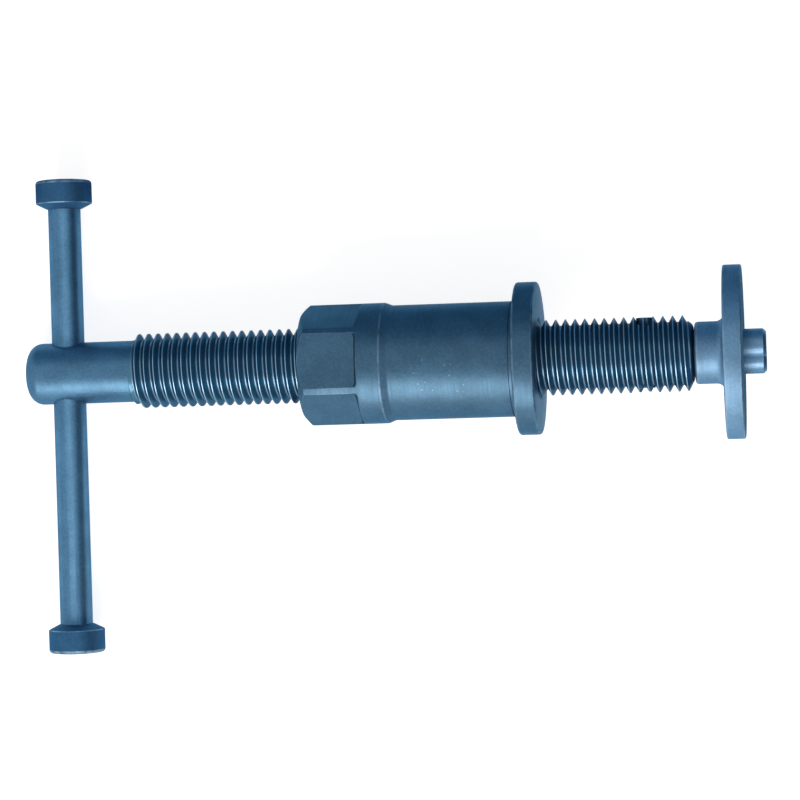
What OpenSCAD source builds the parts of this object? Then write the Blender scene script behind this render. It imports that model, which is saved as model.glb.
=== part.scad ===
// Screw press that pushes a brake caliper's piston back into its bore.
// A threaded spindle with a sliding T-bar runs through a flanged hex sleeve, and its nose carries
// a swivelling push disc that a lobed, cross-pinned spigot holds captive.
// X runs along the spindle towards the push disc, Y along the T-bar, and Z is up.
// The origin is on the spindle's axis, in the plane of the flange's front face.

/* [Spindle] */
// Outer diameter of the spindle's thread
thread_d = 19.6; // [18:0.1:21]
// Length of the threaded stretch
thread_len = 146.9; // [120:0.1:170]
// Length of the tapered lead at each end of the thread
thread_lead = 1.5; // [0.5:0.1:1.8]
// How far the front lead draws the thread's end in, measured on the radius
nose_taper = 2.8; // [1:0.1:3]
// How far the thread stands out of the flange's front face at rest
nose_reach = 39.6; // [32:0.1:50]
// Diameter of the plain head that holds the T-bar
head_d = 16.2; // [15:0.1:17]
// Length of the plain head
head_len = 28.2; // [24:0.1:34]
// Radius of the head's rounded end
head_round = 3.6; // [1:0.1:4.5]

/* [Sleeve] */
// Width across the six spanner flats
hex_af = 28; // [27.4:0.1:29]
// Length of the flats along the sleeve
hex_len = 15.6; // [11:0.1:20]
// Turn of the flats about the spindle, from facing straight up
hex_turn = 3.7; // [0:0.1:30]
// Corner radius where a flat runs out into the collar
hex_corner_r = 1.6; // [0.6:0.1:3]
// Diameter of the turned end face inside the hex's chamfer
hex_face_d = 27.6; // [24.5:0.1:28]
// Length of the hex's chamfer along the sleeve
hex_chamfer = 1.7; // [0.5:0.1:2]
// Diameter of the round collar that the flats are cut in
collar_d = 31.4; // [31:0.1:33]
// Length of the collar behind the flats
collar_len = 6; // [3:0.1:10]
// Length of the taper from the collar to the barrel
step_len = 1.9; // [0.5:0.1:3]
// Diameter of the barrel
barrel_d = 29.9; // [27:0.1:30.8]
// Length of the barrel
barrel_len = 32.3; // [20:0.1:45]
// Diameter of the flange
flange_d = 39.5; // [36:0.1:46]
// Thickness of the flange
flange_t = 5.6; // [4:0.1:8]
// Radius of the flange's rounded edges
flange_round = 0.6; // [0.2:0.1:1.2]
// Width of the relief groove beside the flange
relief_w = 0.8; // [0.5:0.1:2]
// Depth of the relief groove
relief_depth = 0.35; // [0.2:0.05:0.6]
// Width of the land between the relief groove and the flange
relief_land = 0.4; // [0.2:0.1:1]
// Size of the countersink at each mouth of the sleeve's bore
mouth_chamfer = 0.9; // [0.4:0.1:1.2]

/* [T-bar] */
// Diameter of the bar
bar_d = 8.6; // [7:0.1:10]
// Length of bar that shows between the two caps
bar_len = 109.8; // [90:0.1:140]
// Distance of the bar's hole from the end of the spindle's head
bar_inset = 10.4; // [9:0.1:12]
// Slide of the bar's middle along Y at rest
bar_shift = -11.4; // [-25:0.1:25]
// Diameter of the stub that holds each cap
stub_d = 6; // [5:0.1:6.5]
// Length of each stub
stub_len = 6; // [4:0.1:7]
// Diameter of the caps
cap_d = 14.8; // [13:0.1:16.5]
// Length of the caps
cap_len = 7.9; // [7.5:0.1:12]
// Diameter of a cap's shoulder where it meets the bar
cap_neck_d = 9.2; // [9:0.1:12]
// Length of a cap's tapered shoulder
cap_taper = 1.4; // [1:0.1:3]
// Radius of a cap's outer edge
cap_round = 0.9; // [0.3:0.1:1.5]
// Height of the dome on a cap's end
cap_dome = 0.5; // [0.2:0.1:1]

/* [Nose] */
// Diameter of the push disc
disc_d = 44.6; // [38:0.1:60]
// Thickness of the push disc
disc_t = 4.8; // [4:0.1:8]
// Radius of the disc's rounded edges
disc_round = 0.5; // [0.2:0.1:1]
// Diameter of the disc's neck
neck_d = 16; // [14:0.1:16.8]
// Length of the neck
neck_len = 7.5; // [5:0.1:10]
// Radius of the fillet between neck and disc
neck_fillet = 2.2; // [0.4:0.1:3]
// Radius of the neck's rounded rear edge
neck_round = 0.8; // [0.3:0.1:1]
// Outer diameter of the spigot's lobed head
spigot_d = 12.1; // [11.5:0.1:13]
// Reach of the spigot's head in front of the disc
spigot_reach = 5.8; // [4:0.1:8]
// Depth of the valleys between the spigot's lobes
valley_depth = 2.7; // [1.5:0.1:3]
// Turn of the first valley about the spindle, from facing straight up
valley_turn = 30; // [0:1:89]
// Size of the chamfer on the spigot's end
spigot_chamfer = 0.8; // [0.3:0.1:1.2]
// Depth of the seat in the disc's face that takes the spigot's head
seat_depth = 0.4; // [0.3:0.1:1]
// Diameter of the spigot's shank
shank_d = 8; // [7:0.1:9]
// Length of the shank inside the spindle
shank_grip = 18; // [16:0.1:24]
// Diameter of the cross pin
pin_d = 4.5; // [3:0.1:5]
// Distance of the cross pin from the spindle's end
pin_inset = 12.3; // [9:0.1:13]
// Depth of the cross pin's upper end below the thread's crests
pin_recess = 0.05; // [0:0.05:0.5]
// How much deeper the cross pin's lower end sits in its hole
pin_sink = 0.9; // [0:0.1:1.5]
// Diameter of the thrust washer between spindle and disc
washer_d = 12.6; // [11:0.1:13]
// Thickness of the thrust washer
washer_t = 0.9; // [0.6:0.1:1.5]

/* [Clearances] */
// Radial clearance of the spindle in the sleeve
thread_clearance = 0.06; // [0.02:0.01:0.1]
// Radial clearance of the bar in the spindle's head
bar_clearance = 0.08; // [0.02:0.01:0.1]
// Radial clearance of the shank in the push disc
swivel_clearance = 0.05; // [0.02:0.01:0.1]
// Radial clearance of the thrust washer round the shank and in the neck's recess
washer_clearance = 0.15; // [0.05:0.01:0.2]
// Radial clearance of the parts that are pinned or pressed together
seat_clearance = 0.02; // [0.01:0.01:0.05]
// Radial clearance of the spigot's head in its seat
head_clearance = 0.25; // [0.1:0.05:0.4]
// End play on each side of the thrust washer and behind the spigot's head
end_play = 0.1; // [0.05:0.01:0.2]
// Gap between the spindle's end and the disc's neck
nose_gap = 0.3; // [0.2:0.05:0.5]

/* [Hidden] */
round_fn = 96;
flats = 6;
lobes = 2;
// Overshoot of a cutting shape past the surface that it cuts
over = 1;
// How far a flat's cutter is wider than the flat, on each side
flat_margin = 0.2;
steel = "steelblue";
dark_steel = "slategray";

// Places along X, from the hex's end to the spigot's end
flange_x = -flange_t;
relief_x = flange_x - relief_land;
barrel_x = flange_x - barrel_len;
collar_x = barrel_x - step_len;
flats_x = collar_x - collar_len;
hex_x = flats_x - hex_len;
thread_x = nose_reach - thread_len;
head_x = thread_x - head_len;
bar_x = head_x + bar_inset;
pin_x = nose_reach - pin_inset;
washer_x = nose_reach + end_play;
recess_x = washer_x + washer_t + end_play;
neck_x = nose_reach + nose_gap;
disc_x = neck_x + neck_len;
face_x = disc_x + disc_t;
seat_x = face_x - seat_depth;
spigot_x = seat_x + end_play;
tip_x = face_x + spigot_reach;
shank_x = nose_reach - shank_grip;

// Radii that several pieces share
bore_r = thread_d / 2 + thread_clearance;
stub_hole_r = stub_d / 2 + seat_clearance;
pin_hole_r = pin_d / 2 + seat_clearance;
// The pin's flat ends stay inside the thread's crests over their whole width
pin_half = sqrt(pow(thread_d / 2, 2) - pow(pin_d / 2, 2)) - pin_recess;
// Lobe circles that meet in valleys of the stated depth
half_step = 180 / lobes;
valley_r = spigot_d / 2 - valley_depth;
lobe_offset = (pow(spigot_d / 2, 2) - pow(valley_r, 2))
            / (spigot_d - 2 * valley_r * cos(half_step));
lobe_r = spigot_d / 2 - lobe_offset;
// Sphere radius of a cap's dome
dome_r = (pow(cap_d / 2, 2) + pow(cap_dome, 2)) / (2 * cap_dome);

// Revolves a profile of radius against place along the spindle
module turned() {
    rotate([0, 90, 0])
        rotate_extrude($fn = round_fn)
            children();
}

// Revolves a profile of radius against place along the T-bar
module turned_bar() {
    translate([bar_x, bar_shift, 0])
        rotate([-90, 0, 0])
            rotate_extrude($fn = round_fn)
                children();
}

// A straight stretch of a profile, from one radius and place to another
module band(r_in, r_out, from, to) {
    translate([r_in, from])
        square([r_out - r_in, to - from]);
}

// A band whose outer corners are rounded
module rounded_band(r_in, r_out, from, to, r) {
    band(r_in, r_out - r, from, to);
    band(r_in, r_out, from + r, to - r);
    for (place = [from + r, to - r])
        translate([r_out - r, place])
            circle(r, $fn = round_fn);
}

// A round rod across the spindle, along Y
module cross_rod(x, r, half_len) {
    translate([x, 0, 0])
        rotate([90, 0, 0])
            cylinder(r = r, h = 2 * half_len, center = true, $fn = round_fn);
}

// Cuts one spanner flat, whose inner end has round corners
module flat_cutter() {
    wide = collar_d * sin(acos(hex_af / collar_d)) + 2 * flat_margin;
    reach = hex_len + over;
    translate([hex_x - over, 0, hex_af / 2])
        linear_extrude(collar_d - hex_af + over)
            union() {
                translate([0, -wide / 2])
                    square([reach - hex_corner_r, wide]);
                translate([0, -wide / 2 + hex_corner_r])
                    square([reach, wide - 2 * hex_corner_r]);
                for (side = [-1, 1])
                    translate([reach - hex_corner_r, side * (wide / 2 - hex_corner_r)])
                        circle(hex_corner_r, $fn = round_fn);
            }
}

// Hex, collar, barrel and flange, turned and milled from one bar
module sleeve() {
    color(steel)
        difference() {
            turned()
                difference() {
                    union() {
                        polygon([
                            [bore_r, hex_x],
                            [hex_face_d / 2, hex_x],
                            [collar_d / 2, hex_x + hex_chamfer],
                            [collar_d / 2, collar_x],
                            [barrel_d / 2, barrel_x],
                            [barrel_d / 2, relief_x - relief_w],
                            [barrel_d / 2 - relief_depth, relief_x - relief_w],
                            [barrel_d / 2 - relief_depth, relief_x],
                            [barrel_d / 2, relief_x],
                            [barrel_d / 2, flange_x + flange_t / 2],
                            [bore_r, flange_x + flange_t / 2]
                        ]);
                        rounded_band(bore_r, flange_d / 2, flange_x, 0, flange_round);
                    }
                    countersink(0, 1);
                    countersink(hex_x, -1);
                }
            for (i = [0 : flats - 1])
                rotate([-hex_turn + i * 360 / flats, 0, 0])
                    flat_cutter();
        }
}

// Cuts a mouth of the sleeve's bore at 45 degrees, opening towards side
module countersink(x, side) {
    polygon([
        [bore_r - over, x - side * (mouth_chamfer + over)],
        [bore_r + mouth_chamfer + over, x + side * over],
        [bore_r - over, x + side * over]
    ]);
}

// Head, threaded stretch and bored nose of the spindle
module spindle_screw() {
    color(dark_steel)
        difference() {
            union() {
                turned()
                    polygon([
                        [0, thread_x - over],
                        [head_d / 2, thread_x - over],
                        [head_d / 2, thread_x],
                        [thread_d / 2, thread_x + thread_lead],
                        [thread_d / 2, nose_reach - thread_lead],
                        [thread_d / 2 - nose_taper, nose_reach],
                        [0, nose_reach]
                    ]);
                turned()
                    union() {
                        band(0, head_d / 2, head_x + head_round, thread_x);
                        band(0, head_d / 2 - head_round, head_x, thread_x);
                        translate([head_d / 2 - head_round, head_x + head_round])
                            circle(head_round, $fn = round_fn);
                    }
            }
            cross_rod(bar_x, bar_d / 2 + bar_clearance, head_d);
            cross_rod(pin_x, pin_hole_r, thread_d);
            turned()
                band(0, shank_d / 2 + seat_clearance, shank_x - end_play, nose_reach + over);
        }
}

// Sliding bar with a stub at each end for its cap
module tommy_bar() {
    color(steel)
        turned_bar()
            union() {
                band(0, bar_d / 2, -bar_len / 2, bar_len / 2);
                band(0, stub_d / 2, -bar_len / 2 - stub_len, bar_len / 2 + stub_len);
            }
}

// One end cap, with its seat against the bar's shoulder at place 0
module cap_profile() {
    difference() {
        intersection() {
            union() {
                polygon([
                    [0, 0],
                    [cap_neck_d / 2, 0],
                    [cap_d / 2, cap_taper],
                    [cap_d / 2, cap_len / 2],
                    [0, cap_len / 2]
                ]);
                rounded_band(0, cap_d / 2, cap_taper, cap_len, cap_round);
            }
            translate([0, cap_len - dome_r])
                circle(dome_r, $fn = round_fn);
            band(0, cap_d, 0, cap_len);
        }
        band(0, stub_hole_r, -over, stub_len + end_play);
    }
}

// Cap on the bar's +Y end
module bar_cap_upper() {
    color(steel)
        turned_bar()
            translate([0, bar_len / 2])
                cap_profile();
}

// Cap on the bar's -Y end
module bar_cap_lower() {
    color(steel)
        turned_bar()
            translate([0, -bar_len / 2])
                mirror([0, 1])
                    cap_profile();
}

// Loose ring in the neck's recess, which takes the push of the spindle's nose
module thrust_washer() {
    color(dark_steel)
        turned()
            band(shank_d / 2 + washer_clearance, washer_d / 2, washer_x, washer_x + washer_t);
}

// Disc and neck that swivel on the spigot's shank
module push_disc() {
    color(steel)
        turned()
            difference() {
                union() {
                    band(0, neck_d / 2, neck_x + neck_round, disc_x + disc_t / 2);
                    band(0, neck_d / 2 - neck_round, neck_x, disc_x + disc_t / 2);
                    translate([neck_d / 2 - neck_round, neck_x + neck_round])
                        circle(neck_round, $fn = round_fn);
                    rounded_band(0, disc_d / 2, disc_x, face_x, disc_round);
                    difference() {
                        translate([neck_d / 2, disc_x - neck_fillet])
                            square(neck_fillet);
                        translate([neck_d / 2 + neck_fillet, disc_x - neck_fillet])
                            circle(neck_fillet, $fn = round_fn);
                    }
                }
                band(-over, shank_d / 2 + swivel_clearance, neck_x - over, face_x + over);
                band(-over, washer_d / 2 + washer_clearance, neck_x - over, recess_x);
                band(-over, spigot_d / 2 + head_clearance, seat_x, face_x + over);
            }
}

// Lobed head and shank that hold the push disc on the spindle
module drive_spigot() {
    color(steel)
        difference() {
            union() {
                intersection() {
                    translate([spigot_x, 0, 0])
                        rotate([0, 90, 0])
                            linear_extrude(tip_x - spigot_x)
                                for (i = [0 : lobes - 1])
                                    rotate(valley_turn + half_step + i * 360 / lobes)
                                        translate([lobe_offset, 0])
                                            circle(lobe_r, $fn = round_fn);
                    turned()
                        polygon([
                            [0, spigot_x],
                            [spigot_d / 2 + over, spigot_x],
                            [spigot_d / 2 + over, tip_x - spigot_chamfer - over],
                            [spigot_d / 2 - spigot_chamfer, tip_x],
                            [0, tip_x]
                        ]);
                }
                turned()
                    band(0, shank_d / 2, shank_x, spigot_x + seat_depth);
            }
            cross_rod(pin_x, pin_hole_r, thread_d);
        }
}

// Pin through the spindle's nose and the spigot's shank
module cross_pin() {
    color(dark_steel)
        translate([0, pin_sink / 2, 0])
            cross_rod(pin_x, pin_d / 2, pin_half - pin_sink / 2);
}

sleeve();
spindle_screw();
tommy_bar();
bar_cap_upper();
bar_cap_lower();
thrust_washer();
push_disc();
drive_spigot();
cross_pin();
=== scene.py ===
"""Dresses the packed model of a brake caliper piston tool, as a Blender add-on that runs as a script.

Lengths are metres in the model's own frame: X along the spindle towards the push disc, Y along the
T-bar, Z up, with the origin on the spindle's axis in the plane of the flange's front face.
"""

import math

import bmesh
import bpy
from bpy.props import FloatProperty, FloatVectorProperty, IntProperty, PointerProperty
from mathutils import Matrix, Vector


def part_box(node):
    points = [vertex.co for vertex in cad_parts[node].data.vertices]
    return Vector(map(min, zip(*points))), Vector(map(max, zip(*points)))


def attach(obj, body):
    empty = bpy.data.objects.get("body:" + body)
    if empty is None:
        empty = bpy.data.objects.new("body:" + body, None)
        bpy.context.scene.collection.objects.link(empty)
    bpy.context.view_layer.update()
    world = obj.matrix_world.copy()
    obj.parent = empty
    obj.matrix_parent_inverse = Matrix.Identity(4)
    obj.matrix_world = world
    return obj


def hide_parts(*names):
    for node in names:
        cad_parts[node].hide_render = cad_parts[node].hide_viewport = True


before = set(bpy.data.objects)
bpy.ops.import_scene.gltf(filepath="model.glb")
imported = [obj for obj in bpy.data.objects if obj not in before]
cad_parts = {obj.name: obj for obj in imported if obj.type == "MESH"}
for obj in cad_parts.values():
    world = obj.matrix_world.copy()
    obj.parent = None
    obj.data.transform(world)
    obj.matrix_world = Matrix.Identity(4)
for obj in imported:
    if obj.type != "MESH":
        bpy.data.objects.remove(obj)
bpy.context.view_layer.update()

bl_info = {
    "name": "Caliper Piston Tool",
    "version": (1, 0, 0),
    "blender": (4, 5, 0),
    "location": "View3D > Sidebar > Piston Tool",
    "description": "Builds a screw press for brake caliper pistons around its packed frame",
    "category": "Add Mesh",
}

MM = 0.001
WHITE = (1, 1, 1, 1)

# Distances at which points count as one, in a fresh mesh and after points were moved
MERGE = 1e-7
WELD = 1e-6

SLEEVE_LO, SLEEVE_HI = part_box("sleeve")
SPINDLE_LO, SPINDLE_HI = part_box("spindle_screw")
BAR_LO, BAR_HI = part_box("tommy_bar")
UPPER_LO, UPPER_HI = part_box("bar_cap_upper")
LOWER_LO, LOWER_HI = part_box("bar_cap_lower")
WASHER_LO, WASHER_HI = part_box("thrust_washer")
DISC_LO, DISC_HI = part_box("push_disc")
SPIGOT_LO, SPIGOT_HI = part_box("drive_spigot")
PIN_LO, PIN_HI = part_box("cross_pin")

BAR_PLACE = Vector(((BAR_LO.x + BAR_HI.x) / 2, 0, 0))
PIN_PLACE = Vector(((PIN_LO.x + PIN_HI.x) / 2, 0, 0))

# Marks on turned rings, all but the plain ones reshaped into spanner flats or lobes
PLAIN_RING, CHAMFER_RING, CORNER_SHADE_AND_DIRT_RING, FOOT_RING, BRINK_RING, LOBED_RING = range(6)
FLATS = 6

# Share of a radius at which an end face has an inner ring
END_RING = 0.25

# Least angle of an edge round the flats that gets a bevel
SHARP_EDGE = math.radians(12)

# Least X of the normal of a face that looks straight ahead
AHEAD = 0.99

# Turns of thread made before its start, which are trimmed off
SPARE_TURNS = 2

# Share of the thread's height at which its flank is darkest, in its painted shade with oil
MID_FLANK = 0.5

# Least distance between the thread's start and the middle of a face on it
THREAD_MARGIN = 0.05 * MM

# Sockets of a Mix node that hold its two colours and their mix
MIX_FIRST, MIX_SECOND, MIX_RESULT = 6, 7, 2

# Stretch of the fine lines on a piece, small along the ways that they run
LINES_ROUND_X = (1, 0.02, 0.02)
LINES_ALONG_X = (0.05, 1, 1)
LINES_ALONG_BAR = (1, 0.03, 1)
LINES_ALONG_CAP = (1, 0.05, 1)
LINES_ALONG_Z = (1, 1, 0.05)


def length(name, description, millimetres):
    """A length property whose default is given in millimetres."""
    return FloatProperty(name=name, description=description, default=millimetres * MM, unit="LENGTH",
                         min=0, precision=5)


def tone(name, description, linear):
    """A colour property with a scene-linear default."""
    return FloatVectorProperty(name=name, description=description, default=linear, subtype="COLOR",
                               min=0, max=1)


def angle(name, description, degrees):
    """An angle property whose default is given in degrees."""
    return FloatProperty(name=name, description=description, default=math.radians(degrees),
                         subtype="ANGLE")


def count(name, description, number):
    """A whole number of at least two."""
    return IntProperty(name=name, description=description, default=number, min=2)


def fraction(name, description, part):
    """A share between none and all."""
    return FloatProperty(name=name, description=description, default=part, min=0, max=1)


def power(name, description, number):
    """A strength of light, none or more."""
    return FloatProperty(name=name, description=description, default=number, min=0)


def spot(name, description, point):
    """A place in the model's frame."""
    return FloatVectorProperty(name=name, description=description, default=point,
                               subtype="TRANSLATION")


class PistonToolSleeve(bpy.types.PropertyGroup):
    """Sizes of the flanged hex sleeve."""

    hex_width: length("Hex width", "Width across the six spanner flats", 28)
    hex_length: length("Hex length", "Length of the flats along the sleeve", 15.6)
    hex_turn: angle("Hex turn", "Turn of the first flat from facing straight up", 3.7)
    corner_radius: length("Corner radius", "Corner radius where a flat runs out", 1.6)
    corner_margin: length("Corner margin", "How far the flat's cutter passes its edges", 0.2)
    face_width: length("Face diameter", "Diameter of the end face inside the chamfer", 27.6)
    chamfer: length("Chamfer", "Length of the hex's chamfer", 1.7)
    collar_width: length("Collar diameter", "Diameter of the collar behind the flats", 31.4)
    collar_length: length("Collar length", "Length of the collar behind the flats", 6)
    step_length: length("Step length", "Length of the taper down to the barrel", 1.9)
    barrel_width: length("Barrel diameter", "Diameter of the barrel", 29.9)
    flange_thickness: length("Flange thickness", "Thickness of the flange", 5.6)
    flange_round: length("Flange rounding", "Radius of the flange's edges", 0.6)
    relief_width: length("Relief width", "Width of the groove beside the flange", 0.8)
    relief_depth: length("Relief depth", "Depth of the groove beside the flange", 0.35)
    relief_land: length("Relief land", "Land between the groove and the flange", 0.4)
    bore_clearance: length("Bore clearance", "Radial clearance round the thread", 0.06)
    mouth: length("Mouth", "Countersink at each end of the bore", 0.9)
    edge_break: length("Edge break", "Rounding of the other turned edges", 0.25)
    flat_break: length("Flat break", "Bevel on the edges of the flats", 0.1)
    collar_round: length("Collar rounding", "Radius of the collar's edge at the taper", 1.2)
    step_fillet: length("Step fillet", "Fillet between the taper and the barrel", 1.5)
    # The dark band at the foot of each flat is painted corner shade, with some dirt.
    corner_shade_and_dirt_width: length("Soil width", "Width of the dark dirt at the foot of a flat", 0.6)
    turn_steps: count("Turn steps", "Steps round the sleeve", 360)


class PistonToolSpindle(bpy.types.PropertyGroup):
    """Sizes of the threaded spindle."""

    pitch: length("Pitch", "Pitch of the right-hand thread", 2.5)
    root_width: length("Root diameter", "Diameter at the bottom of the thread", 16.3)
    crest_flat: length("Crest flat", "Width of the thread's blunt crest", 0.2)
    root_round: length("Root rounding", "Radius at the bottom of the thread", 0.18)
    flank_angle: angle("Flank angle", "Slope of the thread's flanks", 30)
    start_angle: angle("Start angle", "Turn of the thread about the spindle", -153)
    lead: length("Lead", "Length of the tapered lead at each end of the thread", 1.5)
    nose_taper: length("Nose taper", "How far the front lead draws the thread's end in", 2.8)
    head_width: length("Head diameter", "Diameter of the plain head", 16.2)
    head_length: length("Head length", "Length of the plain head", 28.2)
    head_round: length("Head rounding", "Radius of the head's end", 3.6)
    bar_clearance: length("Bar clearance", "Radial clearance of the T-bar in the head", 0.08)
    shank_width: length("Shank bore", "Diameter of the bore in the nose", 8.04)
    bore_depth: length("Bore depth", "Depth of the bore in the nose", 18.1)
    pin_clearance: length("Pin clearance", "Radial clearance of the cross pin", 0.02)
    turn_steps: count("Turn steps", "Steps in one turn of the thread", 72)
    drill_steps: count("Drill steps", "Steps round a drilled hole", 64)


class PistonToolBar(bpy.types.PropertyGroup):
    """Sizes of the T-bar and its caps."""

    bar_length: length("Bar length", "Length of bar between the caps", 109.8)
    stub_width: length("Stub diameter", "Diameter of the stub inside each cap", 6)
    shoulder_break: length("Shoulder break", "Rounding of the bar's shoulders", 0.2)
    cap_neck: length("Cap neck", "Diameter of a cap's shoulder at the bar", 9.2)
    cap_taper: length("Cap taper", "Length of a cap's tapered shoulder", 1.4)
    cap_round: length("Cap rounding", "Radius of a cap's outer edge", 0.9)
    cap_dome: length("Cap dome", "Height of the dome on a cap's end", 0.5)
    dome_share: fraction("Dome share", "Share of a cap's radius inside its rounded edge", 0.86)
    dome_rings: count("Dome rings", "Rings on the dome of a cap", 6)
    cap_hole_depth: length("Cap hole depth", "Depth of the hole for the stub", 6.1)
    stub_clearance: length("Stub clearance", "Radial clearance of the stub in its cap", 0.02)
    edge_break: length("Edge break", "Rounding of a cap's other edges", 0.3)
    bar_steps: count("Bar steps", "Steps round the bar", 96)
    cap_steps: count("Cap steps", "Steps round a cap", 128)


class PistonToolNose(bpy.types.PropertyGroup):
    """Sizes of the push disc, spigot, washer and pin."""

    disc_thickness: length("Disc thickness", "Thickness of the push disc", 4.8)
    disc_round: length("Disc rounding", "Radius of the disc's edges", 0.5)
    neck_width: length("Neck diameter", "Diameter of the disc's neck", 16)
    neck_fillet: length("Neck fillet", "Fillet between neck and disc", 2.2)
    neck_round: length("Neck rounding", "Radius of the neck's rear edge", 0.8)
    swivel_clearance: length("Swivel clearance", "Radial clearance of the shank in the disc", 0.05)
    seat_depth: length("Seat depth", "Depth of the seat round the spigot's head", 0.4)
    seat_clearance: length("Seat clearance", "Radial clearance round the spigot's head", 0.25)
    spigot_width: length("Spigot diameter", "Diameter over the spigot's lobes", 12.1)
    spigot_reach: length("Spigot reach", "Reach of the spigot in front of the disc", 5.8)
    spigot_chamfer: length("Spigot chamfer", "Chamfer on the spigot's end", 0.8)
    valley_depth: length("Valley depth", "Depth of the valleys between the lobes", 2.7)
    valley_turn: angle("Valley turn", "Turn of the first valley from straight up", 30)
    lobes: count("Lobes", "Number of lobes on the spigot", 2)
    shank_width: length("Shank diameter", "Diameter of the spigot's shank", 8)
    end_play: length("End play", "Play behind the spigot's head and the washer", 0.1)
    washer_clearance: length("Washer clearance", "Radial clearance of the washer", 0.15)
    edge_break: length("Edge break", "Rounding of the small edges", 0.2)
    disc_steps: count("Disc steps", "Steps round the disc", 256)
    spigot_steps: count("Spigot steps", "Steps round the spigot", 240)
    washer_steps: count("Washer steps", "Steps round the washer", 128)
    pin_steps: count("Pin steps", "Steps round the pin", 64)


class PistonToolFinish(bpy.types.PropertyGroup):
    """Colours, wear and painted light and shade of the blued steel."""

    satin: tone("Satin blue", "Main tone of the blued surfaces", (0.057, 0.135, 0.222))
    mottle: fraction("Mottling", "How much darker the dull patches are", 0.26)
    drawn: tone("Drawn blue", "Tone of the T-bar and the spindle's head", (0.1, 0.255, 0.43))
    cap: tone("Cap blue", "Tone of the caps", (0.037, 0.128, 0.262))
    # A lighter copy of the blue, painted light that stands in for the brighter light on the disc and
    # spigot
    pale: tone("Pale blue", "Tone of the push disc and its spigot", (0.142, 0.288, 0.455))
    rim: tone("Rim tint", "Tint of the steel where it is seen at a low angle", (0.35, 0.55, 0.75))
    worn: tone("Worn edge", "Bare steel along worn edges", (0.3, 0.46, 0.6))
    # The thread's colours paint light and shade: a painted sheen on the root, painted shade with oil
    # on the flanks, and a painted highlight on the worn crests
    root: tone("Thread root", "Shining bottom of the thread", (0.12, 0.228, 0.34))
    flank: tone("Thread flank", "Oiled sides of the thread", (0.056, 0.168, 0.265))
    crest: tone("Thread crest", "Bright crest of the thread", (0.2, 0.38, 0.56))
    # Painted corner shade, with some dirt, at the foot of the flats, and how much of the steel it
    # hides.
    corner_shade_and_dirt: tone("Soil", "Dark dirt at the foot of the flats", (0.008, 0.024, 0.036))
    corner_shade_and_dirt_cover: fraction("Soil cover", "How much of the steel the dirt hides", 0.85)
    # Middle and spread of the bright dots on the barrel, nick marks with painted glints, set where the
    # key light's highlight falls
    nick_and_glint_spot: spot("Scuff", "Middle of the nicks on the barrel", (-0.0256, -0.0058, 0.0138))
    nick_and_glint_reach: length("Scuff reach", "How far the nicks spread from their middle", 11)
    matt: tone("Matt face", "Dull front of the push disc", (0.12, 0.33, 0.58))


class PistonToolStage(bpy.types.PropertyGroup):
    """Camera, floor and light."""

    eye: spot("Camera place", "Where the camera stands", (0.0666, -0.01, 0.6942))
    aim: spot("Camera aim", "Point in the middle of the picture", (-0.0368, -0.0097, 0.0))
    roll: angle("Camera roll", "Turn of the camera about its view", 1.75)
    near_clip: length("Near clip", "Nearest distance that the camera shows", 10)
    lens: FloatProperty(name="Lens", description="Focal length", default=121.49, unit="CAMERA")
    floor_reach: length("Floor reach", "Half the width of the floor", 4000)
    floor_tone: tone("Floor tone", "Pale colour of the floor", (0.8, 0.8, 0.8))
    floor_lift: power("Floor lift", "Light that the floor adds for the eye", 0.78)
    daylight: power("Daylight", "Strength of the even light", 0.3)
    key_way: FloatVectorProperty(name="Key direction", description="Where the key light comes from",
                                 default=(-0.1, -0.83, 0.55), subtype="DIRECTION")
    key_distance: length("Key distance", "Distance of the key light", 1200)
    key_width: length("Key width", "Width of the key light", 850)
    key_power: power("Key power", "Power of the key light in watts", 12)
    key_tone: tone("Key tone", "Warm colour of the key light", (1.0, 0.77, 0.65))
    flag_distance: length("Flag distance", "How far out the flags hang", 900)
    flag_height: length("Flag height", "Height of the flags", 1100)
    flag_width: length("Flag width", "Width of the flags", 1800)
    flag_lift: length("Flag lift", "How far the flags' feet lie above the floor", 0.3)
    side_reach: length("Side reach", "Distance of the side flag's foot from the spindle", 45)
    side_tone: tone("Side flag tone", "Cloth of the side flag", (0.28, 0.65, 0.98))
    end_reach: length("End reach", "Distance of the end flag's foot from the flange", 100)
    end_tone: tone("End flag tone", "Cloth of the end flag", (0.06, 0.13, 0.22))


def corner(place, radius, rounding=0, mark=PLAIN_RING):
    """A corner of a turned section, sharp and plain unless it says otherwise."""
    return place, radius, rounding, mark


def rounded_outline(corners, closed=False, arc_steps=4):
    """Turns corners of place, radius, rounding and mark into points of (place, radius), arc, mark.

    The arc is the number of the outer corner that a point rounds off, or 0.
    """
    outline = []
    total = len(corners)
    for index, (place, radius, rounding, mark) in enumerate(corners):
        tip = Vector((place, radius))
        inside = closed or 0 < index < total - 1
        if not rounding or not inside:
            outline.append((tip, 0, mark))
            continue
        before = Vector(corners[index - 1][:2]) - tip
        after = Vector(corners[(index + 1) % total][:2]) - tip
        before.normalize()
        after.normalize()
        half = before.angle(after) / 2
        centre = tip + (before + after).normalized() * rounding / math.sin(half)
        reach = rounding / math.tan(half)
        start = tip + before * reach - centre
        end = tip + after * reach - centre
        sweep = start.angle(end)
        arc = index + 1 if before.cross(after) > 0 else 0
        for step in range(arc_steps + 1):
            share = step / arc_steps
            arm = start * math.sin((1 - share) * sweep) + end * math.sin(share * sweep)
            outline.append((centre + arm / math.sin(sweep), arc, mark))
    return outline


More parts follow.
